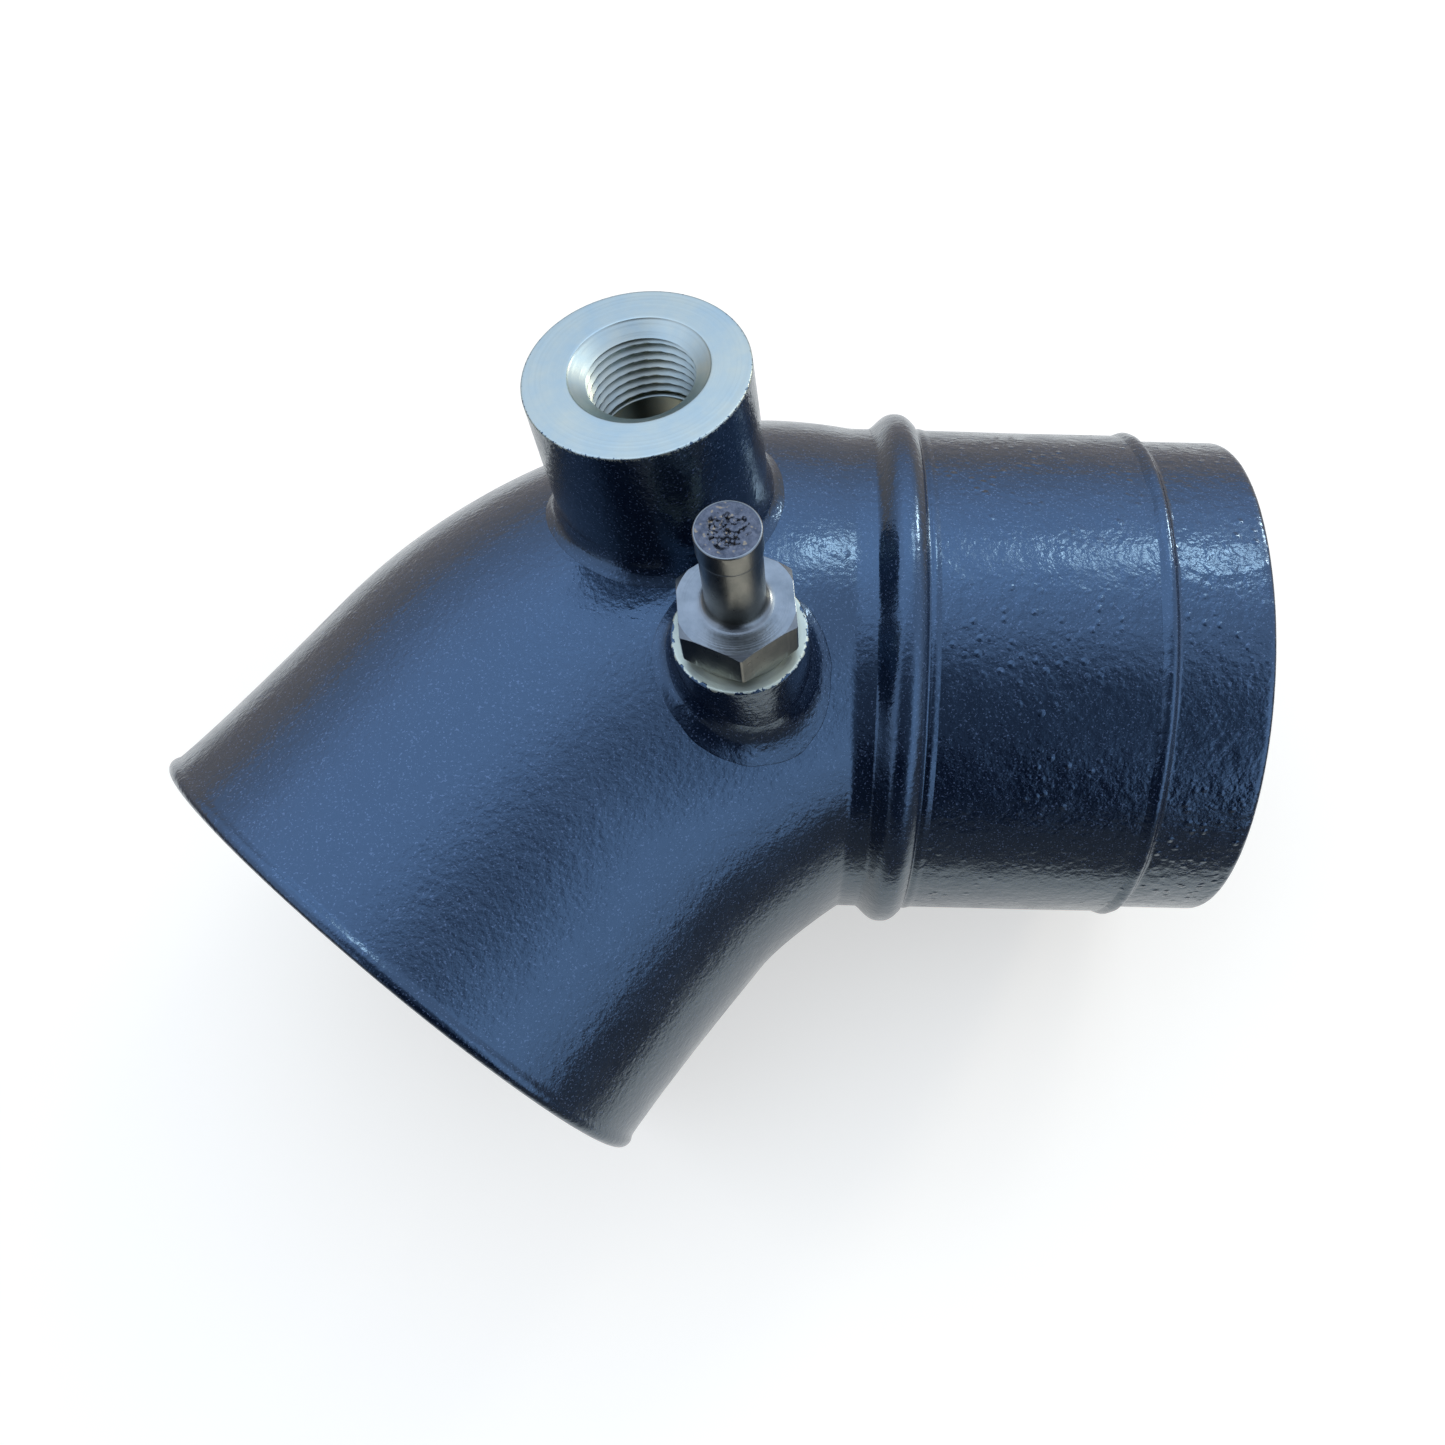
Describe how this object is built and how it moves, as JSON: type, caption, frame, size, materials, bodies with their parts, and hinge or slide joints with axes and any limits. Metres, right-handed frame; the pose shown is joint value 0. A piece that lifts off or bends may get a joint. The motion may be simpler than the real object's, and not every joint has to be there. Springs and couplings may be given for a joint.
{
  "type": "pipe elbow",
  "caption": "Painted steel pipe elbow with a spigot end, a girth bead, a threaded port boss and a screwed-in hex nipple.",
  "frame": {"origin": "on the straight tube's axis, where the clear spigot begins", "axes": "+X along the tube's axis out of the spigot, the bend lies in the XY plane and turns to -Y, +Z on the side of the two bosses"},
  "size_m": [0.2108, 0.1544, 0.1545],
  "materials": {
    "shell_paint": "gloss enamel",
    "tube_paint": "gloss enamel",
    "bead_paint": "gloss enamel",
    "ring_paint": "gloss enamel",
    "weld_paint": "gloss enamel",
    "zinc_boss": "bare zinc face, painted sides",
    "stub_boss_paint": "gloss enamel",
    "washer": "dull",
    "stainless": "turned and satin",
    "sinter": "rough granular"
  },
  "bodies": {
    "pipe": {"elbow_shell": "shell_paint", "straight_tube": "tube_paint", "girth_bead": "bead_paint", "spigot_ring": "ring_paint", "spigot_weld": "weld_paint", "threaded_boss": "zinc_boss", "threaded_boss_weld": "weld_paint", "nipple_boss": "stub_boss_paint", "nipple_boss_weld": "weld_paint"},
    "seal": {"sealing_washer": "washer"},
    "nipple": {"hex_nipple": "stainless", "sintered_plug": "sinter"}
  },
  "joints": [
    {"name": "nipple_rise", "type": "slide", "parent": "pipe", "child": "seal", "axis": [-0.0476, 0.1777, 0.9829], "range_m": [0, 0.00802]},
    {"name": "nipple_turn", "type": "hinge", "parent": "seal", "child": "nipple", "pos_m": [-0.0787, -0.01442, 0.06438], "axis": [-0.0476, 0.1777, 0.9829], "range_deg": [0, 2160]}
  ],
  "couplings": [
    {"joint": "nipple_turn", "follows": "nipple_rise", "rad_per_m": 4699.5}
  ]
}
